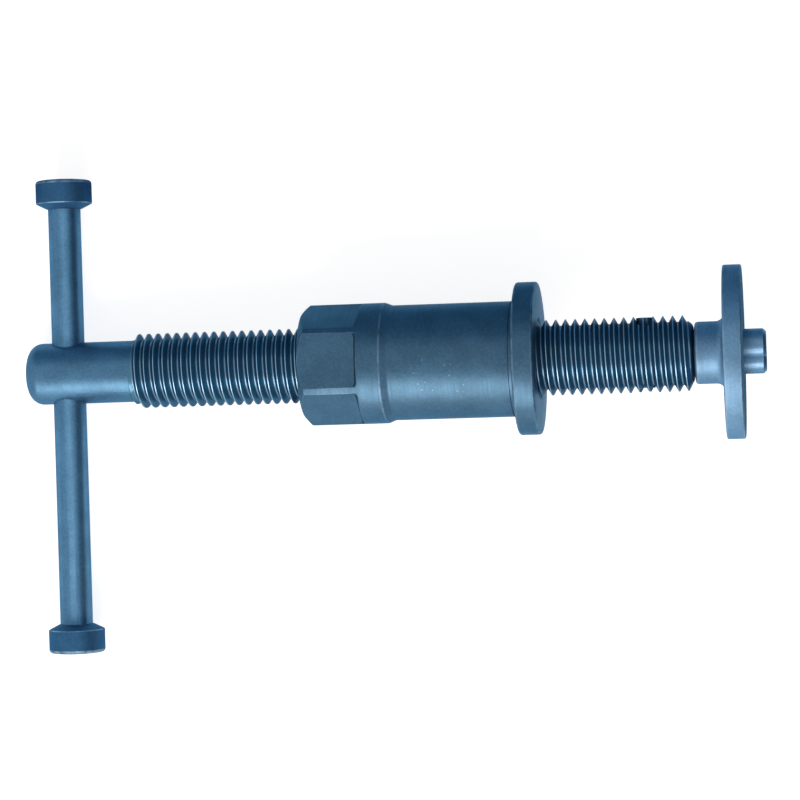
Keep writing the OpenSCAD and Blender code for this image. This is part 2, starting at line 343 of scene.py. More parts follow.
def lathe(outline, steps, closed=False):
    """Spins an outline of place and radius about X into a closed skin."""
    mesh = bmesh.new()
    arc = mesh.verts.layers.int.new("arc")
    mark = mesh.verts.layers.int.new("mark")
    points = []
    for point, arc_number, ring_mark in outline:
        vert = mesh.verts.new((point.x, 0, point.y))
        vert[arc] = arc_number
        vert[mark] = ring_mark
        points.append(vert)
    pairs = list(zip(points, points[1:]))
    if closed:
        pairs.append((points[-1], points[0]))
    edges = [mesh.edges.new(pair) for pair in pairs]
    bmesh.ops.spin(mesh, geom=points + edges, cent=(0, 0, 0), axis=(1, 0, 0), angle=math.tau,
                   steps=steps, use_merge=True)
    bmesh.ops.remove_doubles(mesh, verts=mesh.verts, dist=MERGE)
    bmesh.ops.recalc_face_normals(mesh, faces=mesh.faces)
    return mesh


def mark_worn_arcs(mesh):
    """Marks the faces on rounded edges as worn."""
    arc = mesh.verts.layers.int["arc"]
    wear = mesh.faces.layers.float.new("wear")
    for face in mesh.faces:
        arcs = {vert[arc] for vert in face.verts}
        if len(arcs) == 1 and 0 not in arcs:
            face[wear] = 1


def turned_mesh(corners, steps, closed=False, arc_steps=4):
    """Turns a section about X and marks its rounded edges as worn."""
    mesh = lathe(rounded_outline(corners, closed, arc_steps), steps, closed)
    mark_worn_arcs(mesh)
    return mesh


def turn_about(mesh, axis, turn):
    """Turns a whole mesh about an axis of the frame."""
    bmesh.ops.rotate(mesh, verts=mesh.verts, cent=(0, 0, 0), matrix=Matrix.Rotation(turn, 3, axis))


def lay_along_y(mesh, place):
    """Turns a piece made along X to lie along Y, and moves it into place."""
    turn_about(mesh, "Z", math.pi / 2)
    bmesh.ops.translate(mesh, verts=mesh.verts, vec=place)


def lay_on_floor(mesh, lift):
    """Lays a level mesh on the slope where the tool rests on its flange and its head's end."""
    head = bpy.context.scene.piston_tool_spindle
    heel = SLEEVE_HI.x - bpy.context.scene.piston_tool_sleeve.flange_thickness
    toe = SPINDLE_LO.x + head.head_round
    slope = math.atan2(-head.head_width / 2 - SLEEVE_LO.z, heel - toe)
    turn_about(mesh, "Y", slope)
    bmesh.ops.translate(mesh, verts=mesh.verts, vec=(heel, 0, SLEEVE_LO.z + lift))


def new_object(name, mesh):
    """Makes an object of a bmesh, which is then freed."""
    data = bpy.data.meshes.new(name)
    mesh.to_mesh(data)
    mesh.free()
    made = bpy.data.objects.new(name, data)
    bpy.context.collection.objects.link(made)
    return made


def finished_piece(name, mesh, materials, body, node, crease=35):
    """Makes an object of a bmesh, hangs it on its body and lets it stand for its CAD node."""
    bmesh.ops.recalc_face_normals(mesh, faces=mesh.faces)
    piece = new_object(name, mesh)
    for material in materials:
        piece.data.materials.append(material)
    smooth(piece.data, crease)
    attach(piece, body)
    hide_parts(node)
    return piece


def smooth(data, crease):
    """Shades a mesh smooth, apart from edges sharper than the crease angle in degrees."""
    data.polygons.foreach_set("use_smooth", [True] * len(data.polygons))
    data.set_sharp_from_angle(angle=math.radians(crease))


class Finish:
    """A node material in the making."""

    def __init__(self, name, metallic, specular):
        self.material = bpy.data.materials.new(name)
        self.material.use_nodes = True
        self.tree = self.material.node_tree
        self.shader = self.tree.nodes["Principled BSDF"]
        self.shader.inputs["Metallic"].default_value = metallic
        self.shader.inputs["Specular IOR Level"].default_value = specular
        rim = bpy.context.scene.piston_tool_finish.rim
        self.shader.inputs["Specular Tint"].default_value = colour(rim)
        self.place = self.add("ShaderNodeTexCoord").outputs["Object"]

    def add(self, kind, inputs=None, **settings):
        """Adds a node with its settings, and links or sets its inputs."""
        node = self.tree.nodes.new(kind)
        for key, value in settings.items():
            setattr(node, key, value)
        for key, value in (inputs or {}).items():
            self.feed(node.inputs[key], value)
        return node

    def feed(self, socket, value):
        """Links an output to a socket, or sets the socket's value."""
        if isinstance(value, bpy.types.NodeSocket):
            self.tree.links.new(value, socket)
        else:
            socket.default_value = value

    def math(self, operation, first, second=0.0, clamp=False):
        """The result of a Math node."""
        node = self.add("ShaderNodeMath", {0: first, 1: second}, operation=operation, use_clamp=clamp)
        return node.outputs[0]

    def noise(self, scale, detail=3.0, rough=0.55, stretch=(1, 1, 1)):
        """Noise over the piece, stretched along an axis where stretch is small."""
        mapping = self.add("ShaderNodeMapping", {"Vector": self.place, "Scale": stretch})
        node = self.add("ShaderNodeTexNoise", {"Vector": mapping.outputs[0], "Scale": scale,
                                               "Detail": detail, "Roughness": rough})
        return node.outputs["Fac"]

    def spread(self, value, low, high, to_low=0.0, to_high=1.0):
        """Maps a stretch of values onto another, held at both ends."""
        node = self.add("ShaderNodeMapRange", {"Value": value, "From Min": low, "From Max": high,
                                               "To Min": to_low, "To Max": to_high}, clamp=True)
        return node.outputs[0]

    def blend(self, first, second, share):
        """Adds two values, the first by its share and the second by the rest."""
        first_part = self.math("MULTIPLY", first, share)
        second_part = self.math("MULTIPLY", second, 1 - share)
        return self.math("ADD", first_part, second_part)

    def mix(self, share, first, second):
        """Mixes two colours."""
        node = self.add("ShaderNodeMix", data_type="RGBA")
        self.feed(node.inputs["Factor"], share)
        self.feed(node.inputs[MIX_FIRST], first)
        self.feed(node.inputs[MIX_SECOND], second)
        return node.outputs[MIX_RESULT]

    def wear(self, strength):
        """Share of bare steel on the worn edges."""
        edges = self.add("ShaderNodeAttribute", attribute_name="wear").outputs["Fac"]
        patches = self.spread(self.noise(scale=320, detail=4), low=0.38, high=0.62, to_low=0.1)
        return self.math("MULTIPLY", self.math("MULTIPLY", edges, patches), strength)

    def nicks_and_glints(self, middle, reach):
        """Small bright dots, nick marks with painted glints, that gather about a place."""
        cells = self.add("ShaderNodeTexVoronoi", {"Vector": self.place, "Scale": 600})
        dots = self.spread(cells.outputs["Distance"], low=0.04, high=0.16, to_low=1.0, to_high=0.0)
        away = self.add("ShaderNodeVectorMath", {0: self.place, 1: middle}, operation="DISTANCE")
        near = self.spread(away.outputs["Value"], low=reach / 2, high=reach, to_low=0.4, to_high=0.0)
        return self.math("MULTIPLY", dots, near)

    def relief(self, height, strength, depth):
        """Feeds a height into the shader's normal."""
        bump = self.add("ShaderNodeBump", {"Height": height, "Strength": strength, "Distance": depth})
        self.feed(self.shader.inputs["Normal"], bump.outputs[0])


def colour(value):
    """A colour property as a node's four values."""
    return (*value, 1.0)


def shaded(value, tint):
    """A colour property made darker or lighter, as a node's four values."""
    return colour([part * tint for part in value])


def blued_steel(name, hue, line_stretch, tint=1.0, metallic=0.85, rough=0.4, wear=0.4, line_scale=3000,
                turned=None, nicked_and_glinting=False):
    """Satin blued steel with mottling, fine machining lines, brighter worn edges and, on marked faces,
    a painted corner shade with some dirt.

    Where turned names an axis, the marks of the lathe about it spread the gloss along the piece.
    With that flag, bright dots, nick marks with painted glints, gather where the key light's highlight
    falls on the barrel.
    """
    tones = bpy.context.scene.piston_tool_finish
    finish = Finish(name, metallic=metallic, specular=0.5)
    satin = shaded(hue, tint)
    shade = shaded(hue, tint * (1 - tones.mottle))
    mottle = finish.spread(finish.noise(scale=140, detail=5, rough=0.6), low=0.3, high=0.7)
    grain = finish.noise(scale=1500, detail=3, rough=0.65)
    lines = finish.noise(scale=line_scale, detail=2, rough=0.5, stretch=line_stretch)
    speckle = finish.spread(grain, low=0.3, high=0.7, to_low=-0.5, to_high=0.5)
    share = finish.math("ADD", mottle, speckle, clamp=True)
    base = finish.mix(share, shade, satin)
    # Painted corner shade, with some dirt, darkens the foot of each flat.
    corner_shade_and_dirt = finish.add("ShaderNodeAttribute", attribute_name="corner_shade_and_dirt").outputs["Fac"]
    base = finish.mix(finish.math("MULTIPLY", corner_shade_and_dirt, tones.corner_shade_and_dirt_cover), base, colour(tones.corner_shade_and_dirt))
    bare = finish.wear(wear)
    # Bright dots, nick marks with painted glints, gathered in the barrel's highlight
    if nicked_and_glinting:
        bare = finish.math("MAXIMUM", bare, finish.nicks_and_glints(tones.nick_and_glint_spot, tones.nick_and_glint_reach))
    # Worn edges, and on the barrel the painted glints, take the bare steel's colour
    finish.feed(finish.shader.inputs["Base Color"], finish.mix(bare, base, colour(tones.worn)))
    texture = finish.blend(lines, grain, share=0.6)
    gloss = finish.spread(texture, low=0.3, high=0.7, to_low=rough - 0.06, to_high=rough + 0.08)
    finish.feed(finish.shader.inputs["Roughness"], gloss)
    finish.relief(texture, strength=0.25, depth=0.06 * MM)
    if turned:
        round_about = finish.add("ShaderNodeTangent", direction_type="RADIAL", axis=turned)
        finish.feed(finish.shader.inputs["Tangent"], round_about.outputs[0])
        finish.shader.inputs["Anisotropic"].default_value = 0.85
        finish.shader.inputs["Anisotropic Rotation"].default_value = 0.25
    return finish.material


def matt_steel(name):
    """Dull blued steel with faint turning rings, and without a gloss at low angles."""
    tones = bpy.context.scene.piston_tool_finish
    finish = Finish(name, metallic=0.0, specular=0.0)
    grain = finish.noise(scale=900, detail=4, rough=0.6)
    rings = finish.add("ShaderNodeTexWave", {"Vector": finish.place, "Scale": 500, "Distortion": 1.5},
                       wave_type="RINGS", rings_direction="X").outputs["Fac"]
    texture = finish.blend(rings, grain, share=0.4)
    dark = shaded(tones.matt, tint=0.7)
    finish.feed(finish.shader.inputs["Base Color"], finish.mix(texture, dark, colour(tones.matt)))
    finish.shader.inputs["Roughness"].default_value = 0.8
    finish.relief(texture, strength=0.15, depth=0.04 * MM)
    return finish.material


def thread_steel(name):
    """Oiled thread with painted light and shade: painted shade with oil on its flanks, a painted
    highlight on its worn crests, and a painted sheen on its roots.
    """
    tones = bpy.context.scene.piston_tool_finish
    finish = Finish(name, metallic=0.8, specular=0.5)
    finish.shader.inputs["Specular Tint"].default_value = shaded(tones.rim, tint=0.4)
    rise = finish.add("ShaderNodeAttribute", attribute_name="rise").outputs["Fac"]
    grain = finish.noise(scale=1500, detail=3, rough=0.6)
    ripple = finish.spread(grain, low=0.2, high=0.8, to_low=-0.03, to_high=0.03)
    uneven = finish.math("ADD", rise, ripple)
    # Share of the flanks' painted shade with oil against the roots' painted sheen
    flank_shade_and_oil = finish.spread(uneven, low=0.02, high=0.16)
    side = finish.mix(flank_shade_and_oil, colour(tones.root), colour(tones.flank))
    # Painted highlight on the crests, which are also worn bright
    crest_highlight_and_wear = finish.spread(uneven, low=0.88, high=0.98)
    finish.feed(finish.shader.inputs["Base Color"], finish.mix(crest_highlight_and_wear, side, colour(tones.crest)))
    gloss = finish.spread(grain, low=0.3, high=0.7, to_low=0.27, to_high=0.37)
    finish.feed(finish.shader.inputs["Roughness"], gloss)
    finish.relief(grain, strength=0.15, depth=0.04 * MM)
    return finish.material


class PISTONTOOL_OT_stage(bpy.types.Operator):
    """Sets up the camera, the light, the pale floor and the flags that the steel mirrors"""

    bl_idname = "piston_tool.build_stage"
    bl_label = "Stage"

    def execute(self, context):
        stage = context.scene.piston_tool_stage
        context.scene.view_settings.view_transform = "Standard"
        self.camera(context, stage)
        self.daylight(context, stage)
        self.key(context, stage)
        self.floor(stage)
        self.flag(stage, "Side flag", math.pi / 2, stage.side_reach, stage.side_tone)
        self.flag(stage, "End flag", 0, stage.end_reach, stage.end_tone)
        return {"FINISHED"}

    @staticmethod
    def seen(tree):
        """Output that is 1 for what the eye sees directly, mirrored or through glass."""
        path = tree.nodes.new("ShaderNodeLightPath")
        share = path.outputs["Is Camera Ray"]
        for name in ("Is Glossy Ray", "Is Transmission Ray"):
            either = tree.nodes.new("ShaderNodeMath")
            either.operation = "MAXIMUM"
            tree.links.new(share, either.inputs[0])
            tree.links.new(path.outputs[name], either.inputs[1])
            share = either.outputs[0]
        return share

    @staticmethod
    def camera(context, stage):
        """Stands the camera above the nose end, looking down at the tool."""
        data = bpy.data.cameras.new("Camera")
        data.lens = stage.lens
        data.clip_start = stage.near_clip
        camera = bpy.data.objects.new("Camera", data)
        context.collection.objects.link(camera)
        eye = Vector(stage.eye)
        back = (eye - Vector(stage.aim)).normalized()
        right = Vector((0, 1, 0)).cross(back).normalized()
        up = back.cross(right)
        turn = Matrix((right, up, back)).transposed()
        turn = turn @ Matrix.Rotation(-stage.roll, 3, "Z")
        camera.matrix_world = Matrix.Translation(eye) @ turn.to_4x4()
        context.scene.camera = camera

    @classmethod
    def daylight(cls, context, stage):
        """Even light all round, white where the eye meets it."""
        world = bpy.data.worlds.new("Daylight")
        world.use_nodes = True
        context.scene.world = world
        tree = world.node_tree
        strength = tree.nodes.new("ShaderNodeMapRange")
        strength.inputs["To Min"].default_value = stage.daylight
        strength.inputs["To Max"].default_value = 1
        tree.links.new(cls.seen(tree), strength.inputs["Value"])
        background = tree.nodes["Background"]
        background.inputs["Color"].default_value = WHITE
        tree.links.new(strength.outputs[0], background.inputs["Strength"])

    @staticmethod
    def key(context, stage):
        """Broad key light from the lower side of the picture."""
        data = bpy.data.lights.new("Key", "AREA")
        data.shape = "DISK"
        data.size = stage.key_width
        data.energy = stage.key_power
        data.color = stage.key_tone
        light = bpy.data.objects.new("Key", data)
        context.collection.objects.link(light)
        way = Vector(stage.key_way).normalized()
        middle = Vector(stage.aim)
        light.location = middle + way * stage.key_distance
        light.rotation_euler = way.to_track_quat("Z", "Y").to_euler()

    @staticmethod
    def dull(name, dye):
        """A material without any gloss."""
        material = bpy.data.materials.new(name)
        material.use_nodes = True
        shader = material.node_tree.nodes["Principled BSDF"]
        shader.inputs["Base Color"].default_value = colour(dye)
        shader.inputs["Roughness"].default_value = 1
        shader.inputs["Specular IOR Level"].default_value = 0
        return material

    @classmethod
    def floor(cls, stage):
        """Pale floor, laid so that the tool rests on its flange and its head's end."""
        mesh = bmesh.new()
        bmesh.ops.create_grid(mesh, x_segments=4, y_segments=4, size=stage.floor_reach)
        lay_on_floor(mesh, 0)
        floor = new_object("Floor", mesh)
        material = cls.dull("Pale floor", stage.floor_tone)
        tree = material.node_tree
        shader = tree.nodes["Principled BSDF"]
        shader.inputs["Emission Color"].default_value = WHITE
        lift = tree.nodes.new("ShaderNodeMath")
        lift.operation = "MULTIPLY"
        lift.inputs[1].default_value = stage.floor_lift
        tree.links.new(cls.seen(tree), lift.inputs[0])
        tree.links.new(lift.outputs[0], shader.inputs["Emission Strength"])
        floor.data.materials.append(material)

    @classmethod
    def flag(cls, stage, name, turn, reach, dye):
        """Cloth that only the steel mirrors, laid beside the tool and hung up farther out."""
        mesh = bmesh.new()
        hem = ((reach, 0), (stage.flag_distance, 0), (stage.flag_distance, stage.flag_height))
        sides = []
        for side in (-stage.flag_width / 2, stage.flag_width / 2):
            sides.append([mesh.verts.new((out, side, up)) for out, up in hem])
        for first, second in ((0, 1), (1, 2)):
            mesh.faces.new((sides[0][first], sides[0][second], sides[1][second], sides[1][first]))
        turn_about(mesh, "Z", turn)
        lay_on_floor(mesh, stage.flag_lift)
        flag = new_object(name, mesh)
        flag.data.materials.append(cls.dull(name, dye))
        flag.visible_camera = False
        flag.visible_diffuse = False
        flag.visible_shadow = False


class PISTONTOOL_OT_sleeve(bpy.types.Operator):
    """Turns the flanged sleeve and mills its six spanner flats"""

    bl_idname = "piston_tool.build_sleeve"
    bl_label = "Sleeve"

    def execute(self, context):
        size = context.scene.piston_tool_sleeve
        tones = context.scene.piston_tool_finish
        mesh = turned_mesh(self.corners(size), size.turn_steps, closed=True)
        self.mill_flats(mesh, size)
        self.paint_corner_shade_and_dirt(mesh, size)
        self.break_edges(mesh, size)
        turn_about(mesh, "X", -size.hex_turn)
        # The barrel's bright dots are nick marks with painted glints
        steel = blued_steel("Blued sleeve", tones.satin, LINES_ROUND_X, rough=0.42, wear=0.25,
                            nicked_and_glinting=True)
        finished_piece("flanged_sleeve", mesh, [steel], "sleeve", "sleeve")
        return {"FINISHED"}

    @staticmethod
    def corners(size):
        """Corners of the sleeve's section, from the bore's hex end round to its flange end."""
        back = SLEEVE_LO.x
        front = SLEEVE_HI.x
        bore = SPINDLE_HI.z + size.bore_clearance
        collar = size.collar_width / 2
        barrel = size.barrel_width / 2
        groove = barrel - size.relief_depth
        flange = SLEEVE_HI.z
        shoulder = front - size.flange_thickness
        groove_end = shoulder - size.relief_land
        flats_end = back + size.hex_length
        collar_end = flats_end + size.collar_length
        small = size.edge_break
        fine = size.flat_break
        return [
            corner(back + size.mouth, bore),
            corner(back, bore + size.mouth, small),
            corner(back, size.face_width / 2, fine),
            corner(back + size.chamfer, collar, 0, CHAMFER_RING),
            # Ring where the painted corner shade at the foot of each flat starts
            corner(flats_end - size.corner_shade_and_dirt_width, size.hex_width / 2, 0, CORNER_SHADE_AND_DIRT_RING),
            corner(flats_end, size.hex_width / 2, 0, FOOT_RING),
            corner(flats_end, collar, 0, BRINK_RING),
            corner(flats_end + small, collar),
            corner(collar_end, collar, size.collar_round),
            corner(collar_end + size.step_length, barrel, size.step_fillet),
            corner(groove_end - size.relief_width, barrel, fine),
            corner(groove_end - size.relief_width, groove),
            corner(groove_end, groove),
            corner(groove_end, barrel, fine),
            corner(shoulder, barrel, fine),
            corner(shoulder, flange, size.flange_round),
            corner(front, flange, size.flange_round),
            corner(front, bore + size.mouth, small),
            corner(front - size.mouth, bore),
        ]

    @staticmethod
    def mill_flats(mesh, size):
        """Moves the marked rings onto the six flats and their rounded ends."""
        mark = mesh.verts.layers.int["mark"]
        back = SLEEVE_LO.x
        flats_end = back + size.hex_length
        face = size.face_width / 2
        collar = size.collar_width / 2
        depth = size.hex_width / 2
        half_width = math.sqrt(collar ** 2 - depth ** 2)
        straight = half_width + size.corner_margin - size.corner_radius
        step = math.tau / FLATS
        for vert in mesh.verts:
            if vert[mark] == PLAIN_RING:
                continue
            turn = math.atan2(vert.co.y, vert.co.z)
            aside = abs((turn + step / 2) % step - step / 2)
            radius = min(depth / math.cos(aside), collar)
            lateral = min(depth * math.tan(aside), half_width)
            beyond = max(lateral - straight, 0)
            drawback = size.corner_radius - math.sqrt(size.corner_radius ** 2 - beyond ** 2)
            place = flats_end - drawback
            if vert[mark] == CHAMFER_RING:
                place = back + (radius - face) / (collar - face) * size.chamfer
            if vert[mark] == CORNER_SHADE_AND_DIRT_RING:
                place -= size.corner_shade_and_dirt_width
            if vert[mark] == BRINK_RING:
                radius = collar
            vert.co = (place, radius * math.sin(turn), radius * math.cos(turn))
        bmesh.ops.remove_doubles(mesh, verts=mesh.verts, dist=WELD)

    @staticmethod
    def paint_corner_shade_and_dirt(mesh, size):
        """Marks the foot of each flat for a painted corner shade, with some dirt."""
        mark = mesh.verts.layers.int["mark"]
        corner_shade_and_dirt = mesh.faces.layers.float.new("corner_shade_and_dirt")
        for face in mesh.faces:
            middle = face.calc_center_median()
            inside = math.hypot(middle.y, middle.z) < size.collar_width / 2 - size.flat_break
            marks = {vert[mark] for vert in face.verts}
            if inside and marks <= {CORNER_SHADE_AND_DIRT_RING, FOOT_RING, BRINK_RING}:
                face[corner_shade_and_dirt] = 1

    @staticmethod
    def break_edges(mesh, size):
        """Bevels the edges round the flats and marks them as worn."""
        mark = mesh.verts.layers.int["mark"]
        wear = mesh.faces.layers.float["wear"]
        corner_shade_and_dirt = mesh.faces.layers.float["corner_shade_and_dirt"]
        edges = []
        for edge in mesh.edges:
            marks = sorted(vert[mark] for vert in edge.verts)
            if PLAIN_RING in marks or not edge.is_manifold:
                continue
            if edge.calc_face_angle() > SHARP_EDGE:
                if marks not in ([FOOT_RING, BRINK_RING], [FOOT_RING, FOOT_RING]):
                    edges.append(edge)
        result = bmesh.ops.bevel(mesh, geom=edges, offset=size.flat_break, offset_type="OFFSET",
                                 affect="EDGES", segments=2, profile=0.5, material=-1,
                                 clamp_overlap=True)
        for face in result["faces"]:
            face[wear] = 1
            face[corner_shade_and_dirt] = 0


class PISTONTOOL_OT_spindle(bpy.types.Operator):
    """Cuts the spindle's thread and forms its head and bored nose"""

    bl_idname = "piston_tool.build_spindle"
    bl_label = "Spindle"

    def execute(self, context):
        size = context.scene.piston_tool_spindle
        tones = context.scene.piston_tool_finish
        start = SPINDLE_LO.x + size.head_length
        mesh = self.thread(size, start)
        self.taper_leads(mesh, size, start)
        self.form_head(mesh, size, start)
        self.bore_nose(mesh, size)
        head = blued_steel("Blued spindle head", tones.drawn, LINES_ROUND_X, tint=0.74)
        screw = thread_steel("Oiled thread")
        piece = finished_piece("threaded_spindle", mesh, [head, screw], "spindle", "spindle_screw")
        self.drill(context, piece, size)
        for polygon in piece.data.polygons:
            polygon.material_index = int(polygon.center.x > start + THREAD_MARGIN)
        smooth(piece.data, crease=40)
        return {"FINISHED"}

    @staticmethod
    def thread(size, start):
        """One turn of the helix, repeated along the spindle and trimmed at both ends."""
        root = size.root_width / 2
        crest = SPINDLE_HI.z
        flank = (crest - root) * math.tan(size.flank_angle)
        half_root = (size.pitch - size.crest_flat) / 2 - flank
        corners = [
            corner(0, root),
            corner(half_root, root, size.root_round),
            corner(half_root + flank, crest),
            corner(half_root + flank + size.crest_flat, crest),
            corner(size.pitch - half_root, root, size.root_round),
            corner(size.pitch, root),
        ]
        mesh = bmesh.new()
        rise = mesh.verts.layers.float.new("rise")
        points = []
        for point, _, _ in rounded_outline(corners, arc_steps=2):
            vert = mesh.verts.new((start - SPARE_TURNS * size.pitch + point.x, 0, point.y))
            vert[rise] = (point.y - root) / (crest - root)
            points.append(vert)
        edges = [mesh.edges.new(pair) for pair in zip(points, points[1:])]
        turn_about(mesh, "X", size.start_angle)
        step = size.pitch / size.turn_steps
        bmesh.ops.spin(mesh, geom=points + edges, cent=(0, 0, 0), axis=(1, 0, 0), dvec=(step, 0, 0),
                       angle=math.tau, steps=size.turn_steps)
        one_turn = mesh.verts[:] + mesh.edges[:] + mesh.faces[:]
        turns = math.ceil((SPINDLE_HI.x - start) / size.pitch) + SPARE_TURNS + 1
        for turn in range(1, turns):
            copy = bmesh.ops.duplicate(mesh, geom=one_turn)["geom"]
            verts = [part for part in copy if isinstance(part, bmesh.types.BMVert)]
            bmesh.ops.translate(mesh, verts=verts, vec=(turn * size.pitch, 0, 0))
        bmesh.ops.remove_doubles(mesh, verts=mesh.verts, dist=WELD)
        for place, outer in ((start, False), (SPINDLE_HI.x, True)):
            whole = mesh.verts[:] + mesh.edges[:] + mesh.faces[:]
            bmesh.ops.bisect_plane(mesh, geom=whole, dist=MERGE, plane_co=(place, 0, 0),
                                   plane_no=(1, 0, 0), clear_inner=not outer, clear_outer=outer)
        return mesh

    @staticmethod
    def taper_leads(mesh, size, start):
        """Holds the thread inside the tapered lead at each end, where its crests take the flank's
        painted shade instead of the painted crest highlight.
        """
        rise = mesh.verts.layers.float["rise"]
        crest = SPINDLE_HI.z
        head = size.head_width / 2
        for vert in mesh.verts:
            radius = math.hypot(vert.co.y, vert.co.z)
            rear = head + (vert.co.x - start) * (crest - head) / size.lead
            front = crest - size.nose_taper + (SPINDLE_HI.x - vert.co.x) * size.nose_taper / size.lead
            limit = min(rear, front)
            if radius > limit:
                vert.co.y *= limit / radius
                vert.co.z *= limit / radius
                vert[rise] = MID_FLANK

    @staticmethod
    def open_edges(mesh, place):
        """The open edges of the skin in a plane across the spindle."""
        edges = []
        for edge in mesh.edges:
            if edge.is_boundary and all(abs(vert.co.x - place) < WELD for vert in edge.verts):
                edges.append(edge)
        return edges

    @staticmethod
    def carry_on(mesh, edges, place, radius):
        """Extrudes an open end to a ring of another place and radius."""
        grown = bmesh.ops.extrude_edge_only(mesh, edges=edges)["geom"]
        for vert in grown:
            if isinstance(vert, bmesh.types.BMVert):
                scale = radius / math.hypot(vert.co.y, vert.co.z)
                vert.co = (place, vert.co.y * scale, vert.co.z * scale)
        return [edge for edge in grown if isinstance(edge, bmesh.types.BMEdge)]

    @classmethod
    def form_head(cls, mesh, size, start):
        """Carries the rear end on into the plain head with its rounded end."""
        edges = cls.open_edges(mesh, start)
        end = SPINDLE_LO.x
        radius = size.head_width / 2
        corners = [
            corner(start, radius),
            corner(end, radius, size.head_round),
            corner(end, radius * END_RING),
        ]
        for point, _, _ in rounded_outline(corners, arc_steps=10)[1:]:
            edges = cls.carry_on(mesh, edges, point.x, point.y)
        bmesh.ops.edgeloop_fill(mesh, edges=edges)

    @classmethod
    def bore_nose(cls, mesh, size):
        """Closes the front end with its face and the bore for the spigot's shank."""
        edges = cls.open_edges(mesh, SPINDLE_HI.x)
        bore = size.shank_width / 2
        edges = cls.carry_on(mesh, edges, SPINDLE_HI.x, bore)
        edges = cls.carry_on(mesh, edges, SPINDLE_HI.x - size.bore_depth, bore)
        bmesh.ops.edgeloop_fill(mesh, edges=edges)

    @staticmethod
    def drill(context, piece, size):
        """Drills the cross holes of the T-bar and the pin."""
        holes = (
            (BAR_PLACE, BAR_HI.z + size.bar_clearance, SPINDLE_HI.z),
            (PIN_PLACE, PIN_HI.z + size.pin_clearance, SPINDLE_HI.z * 2),
        )
        for place, radius, reach in holes:
            corners = [
                corner(-reach, 0),
                corner(-reach, radius),
                corner(reach, radius),
                corner(reach, 0),
            ]
            mesh = lathe(rounded_outline(corners), size.drill_steps)
            lay_along_y(mesh, place)
            cutter = new_object("Drill", mesh)
            cut = piece.modifiers.new("Drill", "BOOLEAN")
            cut.operation = "DIFFERENCE"
            cut.solver = "EXACT"
            cut.object = cutter
            drilled = piece.evaluated_get(context.evaluated_depsgraph_get())
            spent = (piece.data, cutter.data)
            piece.data = bpy.data.meshes.new_from_object(drilled)
            piece.modifiers.clear()
            bpy.data.objects.remove(cutter)
            for data in spent:
                bpy.data.meshes.remove(data)


class PISTONTOOL_OT_bar(bpy.types.Operator):
    """Turns the sliding T-bar with a stub at each end"""

    bl_idname = "piston_tool.build_bar"
    bl_label = "T-bar"

    def execute(self, context):
        size = context.scene.piston_tool_bar
        tones = context.scene.piston_tool_finish
        radius = BAR_HI.z
        stub = size.stub_width / 2
        half = size.bar_length / 2
        end = (BAR_HI.y - BAR_LO.y) / 2
        middle = BAR_PLACE + Vector((0, (BAR_LO.y + BAR_HI.y) / 2, 0))
        corners = [
            corner(-end, 0),
            corner(-end, stub, size.shoulder_break),
            corner(-half, stub),
            corner(-half, radius, size.shoulder_break),
            corner(half, radius, size.shoulder_break),
            corner(half, stub),
            corner(end, stub, size.shoulder_break),
            corner(end, 0),
        ]
        mesh = turned_mesh(corners, size.bar_steps)
        lay_along_y(mesh, middle)
        # The lighter tint is painted light, standing in for the bar's highlight
        steel = blued_steel("Blued T-bar", tones.drawn, LINES_ALONG_BAR, tint=1.12, rough=0.55,
                            line_scale=1800, turned="Y")
        finished_piece("sliding_bar", mesh, [steel], "tommy_bar", "tommy_bar")
        return {"FINISHED"}


class PISTONTOOL_OT_caps(bpy.types.Operator):
    """Turns the two caps on the ends of the T-bar"""

    bl_idname = "piston_tool.build_caps"
    bl_label = "Bar caps"

    def execute(self, context):
        size = context.scene.piston_tool_bar
        tones = context.scene.piston_tool_finish
        steel = blued_steel("Blued cap", tones.cap, LINES_ALONG_CAP, rough=0.58, wear=0.7)
        self.cap(size, steel, "upper_cap", "bar_cap_upper", UPPER_LO.y, UPPER_HI.y, 1)
        self.cap(size, steel, "lower_cap", "bar_cap_lower", LOWER_HI.y, LOWER_LO.y, -1)
        return {"FINISHED"}

    @staticmethod
    def cap(size, steel, name, node, seat, end, side):
        """One cap, from its seat on the bar's shoulder to its domed end."""
        radius = UPPER_HI.z
        reach = abs(end - seat)
        hole = size.stub_width / 2 + size.stub_clearance
        dome_radius = (radius ** 2 + size.cap_dome ** 2) / (2 * size.cap_dome)
        corners = [
            corner(size.cap_hole_depth, 0),
            corner(size.cap_hole_depth, hole),
            corner(0, hole),
            corner(0, size.cap_neck / 2, size.edge_break),
            corner(size.cap_taper, radius, size.edge_break),
            corner(reach - size.cap_dome, radius, size.cap_round),
        ]
        for ring in range(size.dome_rings, -1, -1):
            out = radius * size.dome_share * ring / size.dome_rings
            height = math.sqrt(dome_radius ** 2 - out ** 2) - dome_radius
            corners.append(corner(reach + height, out))
        mesh = turned_mesh(corners, size.cap_steps, arc_steps=6)
        if side < 0:
            bmesh.ops.scale(mesh, verts=mesh.verts, vec=(-1, 1, 1))
        lay_along_y(mesh, BAR_PLACE + Vector((0, seat, 0)))
        finished_piece(name, mesh, [steel], "tommy_bar", node)


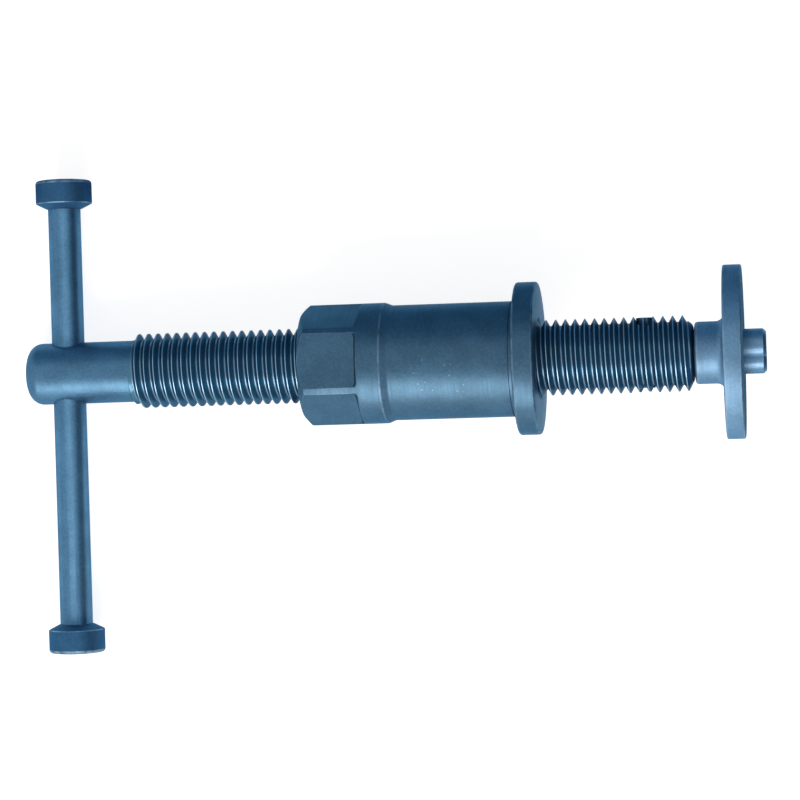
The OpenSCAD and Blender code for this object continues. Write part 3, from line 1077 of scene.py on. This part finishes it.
class PISTONTOOL_OT_washer(bpy.types.Operator):
    """Turns the thrust washer behind the push disc"""

    bl_idname = "piston_tool.build_washer"
    bl_label = "Thrust washer"

    def execute(self, context):
        size = context.scene.piston_tool_nose
        tones = context.scene.piston_tool_finish
        hole = size.shank_width / 2 + size.washer_clearance
        radius = WASHER_HI.z
        corners = [
            corner(WASHER_LO.x, hole, size.edge_break),
            corner(WASHER_LO.x, radius, size.edge_break),
            corner(WASHER_HI.x, radius, size.edge_break),
            corner(WASHER_HI.x, hole, size.edge_break),
        ]
        mesh = turned_mesh(corners, size.washer_steps, closed=True)
        steel = blued_steel("Oiled washer", tones.satin, LINES_ALONG_X, tint=0.4, wear=0.3)
        finished_piece("thrust_ring", mesh, [steel], "thrust_washer", "thrust_washer")
        return {"FINISHED"}


class PISTONTOOL_OT_disc(bpy.types.Operator):
    """Turns the push disc with its neck"""

    bl_idname = "piston_tool.build_disc"
    bl_label = "Push disc"

    def execute(self, context):
        size = context.scene.piston_tool_nose
        tones = context.scene.piston_tool_finish
        hole = size.shank_width / 2 + size.swivel_clearance
        neck = size.neck_width / 2
        seat = size.spigot_width / 2 + size.seat_clearance
        radius = DISC_HI.z
        back = DISC_LO.x
        face = DISC_HI.x
        shoulder = face - size.disc_thickness
        recess = WASHER_HI.z + size.washer_clearance
        recess_end = WASHER_HI.x + size.end_play
        corners = [
            corner(recess_end, hole),
            corner(recess_end, recess),
            corner(back, recess, size.edge_break / 2),
            corner(back, neck, size.neck_round),
            corner(shoulder, neck, size.neck_fillet),
            corner(shoulder, radius, size.disc_round),
            corner(face, radius, size.disc_round),
            corner(face, seat, size.edge_break),
            corner(face - size.seat_depth, seat),
            corner(face - size.seat_depth, hole),
        ]
        mesh = turned_mesh(corners, size.disc_steps, closed=True, arc_steps=6)
        for part in mesh.faces:
            if part.normal.x > AHEAD:
                part.material_index = 1
        # The pale tone is painted light, standing in for the disc's brighter lighting
        steel = blued_steel("Blued disc", tones.pale, LINES_ROUND_X, rough=0.5)
        front = matt_steel("Matt disc face")
        finished_piece("swivel_disc", mesh, [steel, front], "push_disc", "push_disc")
        return {"FINISHED"}


class PISTONTOOL_OT_spigot(bpy.types.Operator):
    """Forms the lobed drive spigot on its shank"""

    bl_idname = "piston_tool.build_spigot"
    bl_label = "Drive spigot"

    def execute(self, context):
        size = context.scene.piston_tool_nose
        tones = context.scene.piston_tool_finish
        shank = size.shank_width / 2
        radius = size.spigot_width / 2
        tip = SPIGOT_HI.x
        head = tip - size.spigot_reach - size.seat_depth + size.end_play
        corners = [
            corner(SPIGOT_LO.x, 0),
            corner(SPIGOT_LO.x, shank, size.edge_break),
            corner(head, shank),
            corner(head, radius, size.edge_break, LOBED_RING),
            corner(tip - size.spigot_chamfer, radius, size.edge_break, LOBED_RING),
            corner(tip, radius - size.spigot_chamfer, size.edge_break, LOBED_RING),
            corner(tip, radius * END_RING),
            corner(tip, 0),
        ]
        mesh = turned_mesh(corners, size.spigot_steps)
        self.draw_lobes(mesh, size)
        # The pale tone and the extra tint are painted light, standing in for the spigot's brighter
        # lighting
        steel = blued_steel("Blued spigot", tones.pale, LINES_ALONG_X, tint=1.14, rough=0.38)
        finished_piece("lobed_spigot", mesh, [steel], "spindle", "drive_spigot")
        return {"FINISHED"}

    @staticmethod
    def draw_lobes(mesh, size):
        """Draws the head's rings in to the outline of its round lobes."""
        mark = mesh.verts.layers.int["mark"]
        radius = size.spigot_width / 2
        valley = radius - size.valley_depth
        half_step = math.pi / size.lobes
        offset = (radius ** 2 - valley ** 2) / (2 * (radius - valley * math.cos(half_step)))
        lobe = radius - offset
        for vert in mesh.verts:
            if vert[mark] != LOBED_RING:
                continue
            turn = math.atan2(-vert.co.y, vert.co.z)
            aside = (turn - size.valley_turn) % (2 * half_step) - half_step
            reach = offset * math.cos(aside) + math.sqrt(lobe ** 2 - (offset * math.sin(aside)) ** 2)
            inset = radius - math.hypot(vert.co.y, vert.co.z)
            scale = (reach - inset) / (radius - inset)
            vert.co.y *= scale
            vert.co.z *= scale


class PISTONTOOL_OT_pin(bpy.types.Operator):
    """Turns the cross pin that holds the spigot"""

    bl_idname = "piston_tool.build_pin"
    bl_label = "Cross pin"

    def execute(self, context):
        size = context.scene.piston_tool_nose
        tones = context.scene.piston_tool_finish
        half = (PIN_HI.y - PIN_LO.y) / 2
        middle = PIN_PLACE + Vector((0, (PIN_LO.y + PIN_HI.y) / 2, 0))
        radius = PIN_HI.z
        corners = [
            corner(-half, 0),
            corner(-half, radius, size.edge_break),
            corner(half, radius, size.edge_break),
            corner(half, 0),
        ]
        mesh = turned_mesh(corners, size.pin_steps)
        lay_along_y(mesh, middle)
        steel = blued_steel("Ground pin", tones.satin, LINES_ALONG_Z, tint=0.9)
        finished_piece("nose_pin", mesh, [steel], "spindle", "cross_pin")
        return {"FINISHED"}


OPERATORS = (
    PISTONTOOL_OT_stage,
    PISTONTOOL_OT_sleeve,
    PISTONTOOL_OT_spindle,
    PISTONTOOL_OT_bar,
    PISTONTOOL_OT_caps,
    PISTONTOOL_OT_washer,
    PISTONTOOL_OT_disc,
    PISTONTOOL_OT_spigot,
    PISTONTOOL_OT_pin,
)

GROUPS = {
    "piston_tool_sleeve": PistonToolSleeve,
    "piston_tool_spindle": PistonToolSpindle,
    "piston_tool_bar": PistonToolBar,
    "piston_tool_nose": PistonToolNose,
    "piston_tool_finish": PistonToolFinish,
    "piston_tool_stage": PistonToolStage,
}


class PISTONTOOL_PT_sidebar(bpy.types.Panel):
    """Lists the tool's pieces and their sizes"""

    bl_idname = "PISTONTOOL_PT_sidebar"
    bl_label = "Piston Tool"
    bl_space_type = "VIEW_3D"
    bl_region_type = "UI"
    bl_category = "Piston Tool"

    def draw(self, context):
        for operator in OPERATORS:
            self.layout.operator(operator.bl_idname)
        for attribute, group in GROUPS.items():
            box = self.layout.box()
            box.label(text=group.__doc__)
            for key in group.__annotations__:
                box.prop(getattr(context.scene, attribute), key)


def register():
    for attribute, group in GROUPS.items():
        bpy.utils.register_class(group)
        setattr(bpy.types.Scene, attribute, PointerProperty(type=group))
    for operator in OPERATORS:
        bpy.utils.register_class(operator)
    bpy.utils.register_class(PISTONTOOL_PT_sidebar)


def unregister():
    bpy.utils.unregister_class(PISTONTOOL_PT_sidebar)
    for operator in reversed(OPERATORS):
        bpy.utils.unregister_class(operator)
    for attribute, group in reversed(GROUPS.items()):
        delattr(bpy.types.Scene, attribute)
        bpy.utils.unregister_class(group)


def main():
    register()
    bpy.ops.piston_tool.build_stage()
    bpy.ops.piston_tool.build_sleeve()
    bpy.ops.piston_tool.build_spindle()
    bpy.ops.piston_tool.build_bar()
    bpy.ops.piston_tool.build_caps()
    bpy.ops.piston_tool.build_washer()
    bpy.ops.piston_tool.build_disc()
    bpy.ops.piston_tool.build_spigot()
    bpy.ops.piston_tool.build_pin()


if __name__ == "__main__":
    main()
